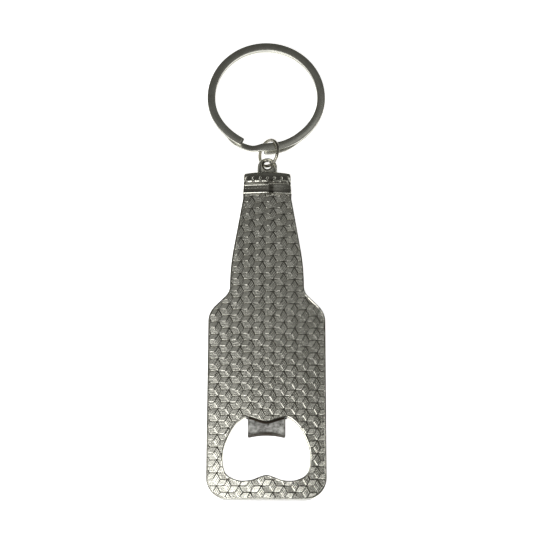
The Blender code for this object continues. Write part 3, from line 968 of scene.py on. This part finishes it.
def cap_level(x, y):
    """Height up the cap with the arch of its top taken out."""
    arch = CAP_ARCH * (1 - (x / CAP_HALF_WIDTH) ** 2)
    return y - arch * (y - CAP_LOW_Y) / (CAP_HIGH_Y - CAP_LOW_Y)


def rib_bulge(x):
    """1 along the middle of each of the cap's ribs and 0 between them."""
    return furrow(x, FLUTE_PITCH * round(x / FLUTE_PITCH), RIB_HALF_WIDTH)


def build_cap(material):
    """Crown cap: a dome that falls away to the top, with ribs pressed into its skirt."""
    def place(u, v):
        y = CAP_LOW_Y + (CAP_HIGH_Y - CAP_LOW_Y) * (1 - cos(v * pi)) / 2
        x = u * cap_half_width(y)
        return x, y + CAP_ARCH * v * (1 - u * u)

    def front(x, y):
        crest = CAP_SIDE_Z + (CAP_CREST_Z - CAP_SIDE_Z) * (1 - (x / CAP_HALF_WIDTH) ** 2)
        level = cap_level(x, y)
        slope = CAP_SLOPE * max(level - CAP_LOW_Y - SKIRT_LIP, 0.0)
        bulge = rib_bulge(x)
        nose = smooth_step(RIB_TOP_Y - level, 0.0, RIB_NOSE)
        foot = smooth_step(CAP_LOW_Y + RIB_FOOT - level, 0.0, RIB_FOOT_RUN)
        rib = RIB_HEIGHT * bulge * nose * (1 - foot)
        lip = LIP_HEIGHT * smooth_step(CAP_LOW_Y + LIP_TOP - level, 0.0, LIP_RUN)
        dip = smooth_step(CAP_LOW_Y + SCALLOP_TOP - level, 0.0, SCALLOP_RUN)
        scallop = SCALLOP_DEPTH * (1 - bulge) * dip
        top_drop = rolled(max(CAP_HIGH_Y - level, 0.0), CAP_TOP_ROUND)
        side_drop = rolled(max(cap_half_width(level) - abs(x), 0.0), CAP_TOP_ROUND)
        low_drop = rolled(max(level - CAP_LOW_Y, 0.0), CAP_LOW_ROUND)
        drop = CAP_SUNK + slope + max(top_drop, side_drop, low_drop)
        return crest - drop + rib + lip - scallop

    def shade(x, y):
        level = cap_level(x, y)
        tick = bump(level, TICK_LOW_Y, TICK_HIGH_Y, TICK_RUN) * rib_bulge(x)
        dark_reflection = CAP_DARK_REFLECTION * dark_reflection_band(x) * (level < CAP_DARK_REFLECTION_TOP_Y)
        # painted shade by height, lightened by the painted highlights on the ribs
        return max(ramp(level, *CAP_SHADE) - TICK_HIGHLIGHT * tick, dark_reflection)

    cap = domed_block(rows=64, columns=224, place=place, front=front, shade=shade)
    add_piece("crown_cap", cap, material, "opener", RELIEF_ANGLE)


def lug_reach(angle):
    """Distance from the eye to the outside of the lug."""
    x, y = cos(angle), sin(angle)
    off = LUG_EYE_Y - LUG_ARC_Y
    far = -off * y + sqrt(LUG_OUTER_R ** 2 - (off * x) ** 2)
    if off + far * y >= 0:
        return far
    side = LUG_OUTER_R / max(abs(x), 1e-9)
    root = (LUG_EYE_Y - LUG_ROOT_Y) / max(-y, 1e-9)
    return min(side, root)


def lug_section(reach):
    """One side of the lug cut through, as (distance from the eye's middle, height) pairs."""
    flare = min(EYE_R + EYE_FLARE, reach - LUG_FRONT_ROUND)
    field = max(reach - LUG_RIM, flare + LUG_FIELD_LEAST)
    field_z = LUG_FRONT_Z - LUG_FIELD_DROP
    waist_z = LUG_MID_Z + EYE_STRAIGHT
    flare_z = waist_z + flare - EYE_R
    halfway = (EYE_R + flare) / 2
    section = [
        (EYE_R, LUG_MID_Z - EYE_STRAIGHT),
        (EYE_R, waist_z),
        (halfway, (waist_z + flare_z) / 2 - EYE_HOLLOW),
        (flare - EYE_HOLLOW, min(flare_z, LUG_FRONT_Z) - EYE_LIP),
        (flare, min(flare_z, field_z + EYE_LIP)),
        (flare + EYE_LIP_WIDTH, field_z),
        (field, field_z),
        ((field + reach - LUG_SAG_IN) / 2, LUG_FRONT_Z - LUG_SAG),
    ]
    front = (reach - LUG_FRONT_ROUND, LUG_FRONT_Z - LUG_FRONT_ROUND)
    section += arc(front, LUG_FRONT_ROUND, pi / 2, 0.0, LUG_FRONT_STEPS)
    back = (reach - LUG_BACK_ROUND, LUG_BACK_Z + LUG_BACK_ROUND)
    section += arc(back, LUG_BACK_ROUND, 0.0, -pi / 2, LUG_BACK_STEPS)
    section.append((flare + EYE_LIP_WIDTH, LUG_BACK_Z))
    section.append((halfway, LUG_MID_Z - EYE_STRAIGHT - (flare - EYE_R) / 2))
    return section


def build_lug(material):
    """Tombstone-shaped ear with a raised rim round a hollow face and an hourglass eye."""
    rings = []
    for k in range(LUG_STEPS):
        angle = 2 * pi * k / LUG_STEPS
        rings.append([(distance * cos(angle), LUG_EYE_Y + distance * sin(angle), z)
                      for distance, z in lug_section(lug_reach(angle))])
    lug = loft(rings, closed=True)
    dark = lug.verts.layers.float.new(PAINTED_SHADE)
    # Painted shade round the eye, on the hollow face and down the sides
    for vert in lug.verts:
        off = hypot(vert.co.x, vert.co.y - LUG_EYE_Y)
        on_field = abs(vert.co.z - LUG_FRONT_Z + LUG_FIELD_DROP) < 3 * SLACK
        on_side = vert.co.z < LUG_FRONT_Z - LUG_SIDE_DROP
        hollow = off < EYE_R + EYE_DARK or (off > EYE_R + FIELD_DARK and (on_field or on_side))
        vert[dark] = LUG_SHADE if hollow else 0.0
    add_piece("hanging_lug", lug, material, "opener", smooth_angle=40)


# ---- tooth and rings

def lip_y(x):
    """Where the opening's upper lip runs over the tooth."""
    lip = sorted(point for point in opening_outline() if point[1] > LIP_FROM_Y)
    return ramp(x, *lip)


def build_tooth(material):
    """Pressed steel tongue with a hollow-ground tip."""
    rings = []
    for distance, z in edge_profile(tooth_low.z, tooth_high.z, TOOTH_EDGE_R):
        share = (z - tooth_low.z) / (tooth_high.z - tooth_low.z)
        corner = TOOTH_CORNER_LOW_Y + (TOOTH_CORNER_HIGH_Y - TOOTH_CORNER_LOW_Y) * share
        middle = TOOTH_MIDDLE_LOW_Y + (TOOTH_MIDDLE_HIGH_Y - TOOTH_MIDDLE_LOW_Y) * share
        half_width = tooth_high.x - distance
        points = []
        for i in range(TOOTH_STEPS + 1):
            across = 2 * i / TOOTH_STEPS - 1
            to_horn = max((abs(across) - 1 + TOOTH_HORN_SHARE) / TOOTH_HORN_SHARE, 0.0)
            y = corner + distance + (middle - corner) * (1 - across ** 2) + TOOTH_HORN * to_horn ** 2
            points.append((across * half_width, y))
        points += [(half_width, tooth_high.y - distance), (-half_width, tooth_high.y - distance)]
        rings.append([(x, y, z) for x, y in points])
    top = rings[-1]
    for n, below in enumerate(TOOTH_SEAT):
        shrink = TOOTH_SEAT_INSET * (n + 1)
        tip = [(x * (1 - shrink / tooth_high.x), lip_y(x) - below, z) for x, y, z in top[:-2]]
        root_y = top[-1][1] - shrink
        root_x = top[-2][0] - shrink
        rings.append(tip + [(root_x, root_y, top[0][2]), (-root_x, root_y, top[0][2])])
    tongue = loft(rings)
    dark = tongue.verts.layers.float.new(PAINTED_SHADE)
    for vert in tongue.verts:
        # Painted shadow under the opening's lip, painted shade below the tooth's top
        under_lip = vert.co.y > lip_y(vert.co.x) - TOOTH_SEAT_DARK
        on_bevel = vert.co.z < tooth_high.z - TOOTH_EDGE_R + SLACK
        vert[dark] = 1.0 if under_lip else TOOTH_BEVEL_SHADE if on_bevel else 0.0
    item = add_piece("tooth", tongue, material, "opener", smooth_angle=30)
    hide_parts("opener_tooth")


def build_jump_ring(material):
    """Round wire bent to a circle, with its two ends almost touching."""
    across = Vector((cos(JUMP_LEAN), 0.0, sin(JUMP_LEAN)))
    up = Vector((0.0, 1.0, 0.0))
    normal = across.cross(up)
    half_gap = JUMP_BUTT_GAP / JUMP_MID_R / 2
    start = JUMP_BUTT_ANGLE + half_gap
    span = 2 * pi - 2 * half_gap
    rings = []
    for i in range(JUMP_STEPS + 1):
        turn = start + span * i / JUMP_STEPS
        outward = across * sin(turn) - up * cos(turn)
        spine = JUMP_CENTRE + outward * JUMP_MID_R
        from_end = min(i, JUMP_STEPS - i) / JUMP_STEPS * span * JUMP_MID_R
        radius = JUMP_WIRE_R - rolled(from_end, JUMP_END_ROUND)
        angles = [2 * pi * k / JUMP_SIDES for k in range(JUMP_SIDES)]
        rings.append([spine + (outward * cos(s) + normal * sin(s)) * radius for s in angles])
    item = add_piece("jump_ring_wire", loft(rings), material, "jump_link", smooth_angle=50)
    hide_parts("jump_ring")


def bump(value, low, high, run):
    """Rises from 0 to 1 after `low` and falls back before `high`."""
    return smooth_step(value, low, low + run) - smooth_step(value, high - run, high)


def split_section(angle):
    """Outer radius, inner radius and height of the wire at a running angle in degrees.

    The wire leaves its front end clockwise, passes once round, crosses to the back turn
    between the two ends, and runs once more round to its back end.
    """
    cross_start = SPLIT_BACK_END - ONE_TURN
    cross_end = SPLIT_FRONT_END - ONE_TURN
    back_end = SPLIT_BACK_END - 2 * ONE_TURN
    crossed = smooth_step(-angle, -cross_start, -cross_end - SPLIT_CROSS_SPARE)
    height = (1.0 - 2.0 * crossed) * (SPLIT_WIRE_THICK + SPLIT_TURN_GAP) / 2

    from_low = abs((angle + ONE_TURN / 2) % ONE_TURN - ONE_TURN / 2)
    drawn = SPLIT_DRAW_IN * (1.0 - smooth_step(from_low, SPLIT_DRAW_TO, SPLIT_DRAW_FROM))
    nipped = bump(-angle, -cross_start, -cross_end + SPLIT_NIP_BEYOND, SPLIT_NIP_RUN)
    hump = bump(angle + ONE_TURN, SPLIT_HUMP_FROM, SPLIT_HUMP_TO, SPLIT_HUMP_RUN)
    splay = SPLIT_SPLAY * smooth_step(-angle, -back_end - SPLIT_SPLAY_FROM,
                                      -back_end - SPLIT_SPLAY_TO)
    outer = SPLIT_OUTER_R - drawn * (1.0 - SPLIT_NIP_OUTER * nipped) + splay
    inner = outer - SPLIT_WIRE_WIDTH + SPLIT_NIP * nipped - SPLIT_HUMP * hump
    return outer, inner, height


def wire_section(inner, outer, half_thick, corner, steps=4):
    """A rectangle with rounded corners, as (radius, rise) pairs round the wire."""
    corners = (
        (outer - corner, half_thick - corner, 0.0),
        (inner + corner, half_thick - corner, pi / 2),
        (inner + corner, corner - half_thick, pi),
        (outer - corner, corner - half_thick, 3 * pi / 2),
    )
    points = []
    for radius, rise, start in corners:
        points += arc((radius, rise), corner, start, start + pi / 2, steps)
    return points


def build_split_ring(material):
    """Flat spring wire wound twice, with the crossover at the low side by the jump ring."""
    total = SPLIT_FRONT_END - (SPLIT_BACK_END - 2 * ONE_TURN)
    rings = []
    for i in range(SPLIT_STEPS + 1):
        angle = SPLIT_FRONT_END - total * i / SPLIT_STEPS
        outer, inner, height = split_section(angle)
        turn = radians(angle)
        outward = Vector((sin(turn), -cos(turn), 0.0))
        from_end = min(i, SPLIT_STEPS - i) / SPLIT_STEPS * radians(total) * SPLIT_OUTER_R
        draw = rolled(from_end, SPLIT_END_ROUND)
        section = wire_section(inner + draw, outer - draw, SPLIT_WIRE_THICK / 2 - draw, SPLIT_CORNER)
        rings.append([SPLIT_CENTRE + outward * radius + Vector((0.0, 0.0, height + rise))
                      for radius, rise in section])
    item = add_piece("split_ring_wire", loft(rings), material, "key_ring", smooth_angle=35)
    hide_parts("split_ring")


# ---- materials

PATCH = 260.0  # scale of the tarnish's clouds
TARNISH_RANGE = (0.35, 0.7)  # noise values over which the tarnish comes in
GLOSS_RANGE = (0.3, 0.7)
GLOSS_SCALE = 3.1  # the gloss varies this much more finely than the tarnish


def set_inputs(node, **constants):
    """Set inputs of a shader node; an underscore stands for a space in an input's name."""
    for name, value in constants.items():
        node.inputs[name.replace("_", " ")].default_value = value


def new_material(name, colour, metallic, roughness):
    """A material with its node tree and its Principled shader."""
    material = bpy.data.materials.new(name)
    material.use_nodes = True
    shader = material.node_tree.nodes["Principled BSDF"]
    set_inputs(shader, Base_Color=(*colour, 1.0), Metallic=metallic, Roughness=roughness)
    return material, material.node_tree, shader


def noise(tree, coordinates, scale, detail=3.0, roughness=0.6):
    """Output of a noise texture."""
    node = tree.nodes.new("ShaderNodeTexNoise")
    set_inputs(node, Scale=scale, Detail=detail, Roughness=roughness)
    tree.links.new(coordinates, node.inputs["Vector"])
    return node.outputs["Fac"]


def remap(tree, value, low, high, to_low=0.0, to_high=1.0):
    """Output of a node that maps one range to another."""
    node = tree.nodes.new("ShaderNodeMapRange")
    set_inputs(node, From_Min=low, From_Max=high, To_Min=to_low, To_Max=to_high)
    tree.links.new(value, node.inputs["Value"])
    return node.outputs["Result"]


def mix_colour(tree, share, first, second):
    """Output of a node that mixes two colours, each a constant or a node's output."""
    node = tree.nodes.new("ShaderNodeMix")
    node.data_type = "RGBA"
    tree.links.new(share, node.inputs["Factor"])
    for socket, colour in ((node.inputs["A"], first), (node.inputs["B"], second)):
        if isinstance(colour, tuple):
            socket.default_value = (*colour, 1.0)
        else:
            tree.links.new(colour, socket)
    return node.outputs["Result"]


def metal(name, bright, dull, gloss, grain, grain_depth, patch=PATCH):
    """Worn plating: cloudy tarnish, uneven gloss and a fine surface grain."""
    material, tree, shader = new_material(name, bright, 1.0, gloss[0])
    coordinates = tree.nodes.new("ShaderNodeTexCoord").outputs["Object"]
    tarnish = remap(tree, noise(tree, coordinates, patch, detail=4.0), *TARNISH_RANGE)
    tree.links.new(mix_colour(tree, tarnish, bright, dull), shader.inputs["Base Color"])
    uneven = noise(tree, coordinates, patch * GLOSS_SCALE)
    tree.links.new(remap(tree, uneven, *GLOSS_RANGE, *gloss), shader.inputs["Roughness"])
    bumps = tree.nodes.new("ShaderNodeBump")
    set_inputs(bumps, Strength=1.0, Distance=grain_depth)
    tree.links.new(noise(tree, coordinates, grain), bumps.inputs["Height"])
    tree.links.new(bumps.outputs["Normal"], shader.inputs["Normal"])
    return material


def darken(material, colour):
    """Mix in a dark colour for painted shade where the mesh's painted shade attribute says so."""
    tree = material.node_tree
    shader = tree.nodes["Principled BSDF"]
    share = tree.nodes.new("ShaderNodeAttribute")
    share.attribute_name = PAINTED_SHADE
    base = shader.inputs["Base Color"].links[0].from_socket
    tree.links.new(mix_colour(tree, share.outputs["Fac"], base, colour), shader.inputs["Base Color"])


def build_materials():
    """The casting's front, the pressed steel and the two rings' wires."""
    front = metal("cast_front", bright=(0.87, 0.86, 0.775), dull=(0.74, 0.73, 0.645),
                  gloss=(0.20, 0.28), grain=2600.0, grain_depth=0.000008)
    # colour of the painted shade on the casting
    darken(front, (0.07, 0.066, 0.05))
    steel = metal("pressed_steel", bright=(0.42, 0.42, 0.395), dull=(0.05, 0.048, 0.042),
                  gloss=(0.34, 0.5), grain=1400.0, grain_depth=0.00004, patch=900.0)
    # colour of the painted shade on the tooth
    darken(steel, (0.035, 0.028, 0.02))
    wire = metal("plated_wire", bright=(0.42, 0.40, 0.34), dull=(0.28, 0.27, 0.22),
                 gloss=(0.16, 0.24), grain=1500.0, grain_depth=0.000006)
    spring = metal("spring_wire", bright=(0.60, 0.595, 0.535), dull=(0.52, 0.515, 0.455),
                   gloss=(0.20, 0.27), grain=1500.0, grain_depth=0.000006)
    return front, steel, wire, spring


# ---- stage, lights and camera

def build_floor():
    """White paper under the opener, which glows a little as on a light table."""
    material, _, shader = new_material("floor_paper", PAPER, metallic=0.0, roughness=0.9)
    set_inputs(shader, Specular_IOR_Level=0.0, Emission_Color=(1.0, 1.0, 1.0, 1.0),
               Emission_Strength=FLOOR_GLOW)
    mesh = bmesh.new()
    bmesh.ops.create_grid(mesh, x_segments=1, y_segments=1, size=FLOOR_HALF_SIZE)
    sheet = mesh_object("floor", mesh)
    sheet.data.materials.append(material)
    sheet.location = (0.0, 0.0, cad_low.z - FLOOR_DROP)


def add_softbox(name, place, target, size, radiance):
    """A rectangular softbox of the given size and brightness, turned to the target."""
    data = bpy.data.lights.new(name, "AREA")
    data.shape = "RECTANGLE"
    data.size, data.size_y = size
    data.energy = radiance * pi * size[0] * size[1]
    item = new_object(name, data)
    item.location = place
    aim = Vector(target) - Vector(place)
    item.rotation_euler = aim.to_track_quat("-Z", "Y").to_euler()
    item.visible_camera = False


def build_world():
    """A light tent: a soft glow overhead that fades out towards the sides."""
    world = bpy.data.worlds.new("studio")
    world.use_nodes = True
    tree = world.node_tree
    source = tree.nodes.new("ShaderNodeTexCoord")
    split = tree.nodes.new("ShaderNodeSeparateXYZ")
    tree.links.new(source.outputs["Generated"], split.inputs["Vector"])
    overhead = remap(tree, split.outputs["Z"], cos(WORLD_FADE_FROM), cos(WORLD_FADE_TO))
    tree.links.new(mix_colour(tree, overhead, WORLD_SIDE, WORLD_TOP),
                   tree.nodes["Background"].inputs["Color"])
    bpy.context.scene.world = world


def build_camera():
    """The camera, tilted back and rolled a little."""
    data = bpy.data.cameras.new("camera")
    data.sensor_width = CAMERA_SENSOR
    data.lens = CAMERA_LENS
    data.clip_start, data.clip_end = CAMERA_CLIP
    item = new_object("camera", data)
    backwards = Vector((0.0, -sin(CAMERA_TILT), cos(CAMERA_TILT)))
    item.location = (CAMERA_TARGET + CAMERA_DISTANCE * backwards) * MM
    turn = Matrix.Rotation(CAMERA_TILT, 3, "X") @ Matrix.Rotation(CAMERA_ROLL, 3, "Z")
    item.rotation_euler = turn.to_euler()
    bpy.context.scene.camera = item


def main():
    """Build the stage and every piece."""
    bpy.context.scene.view_settings.view_transform = "Standard"
    build_camera()
    build_world()
    for softbox in SOFTBOXES:
        add_softbox(*softbox)
    build_floor()
    front, steel, wire, spring = build_materials()
    for build in (build_plate, build_collar, build_cap, build_lug):
        build(front)
    build_tooth(steel)
    build_jump_ring(wire)
    build_split_ring(spring)


main()
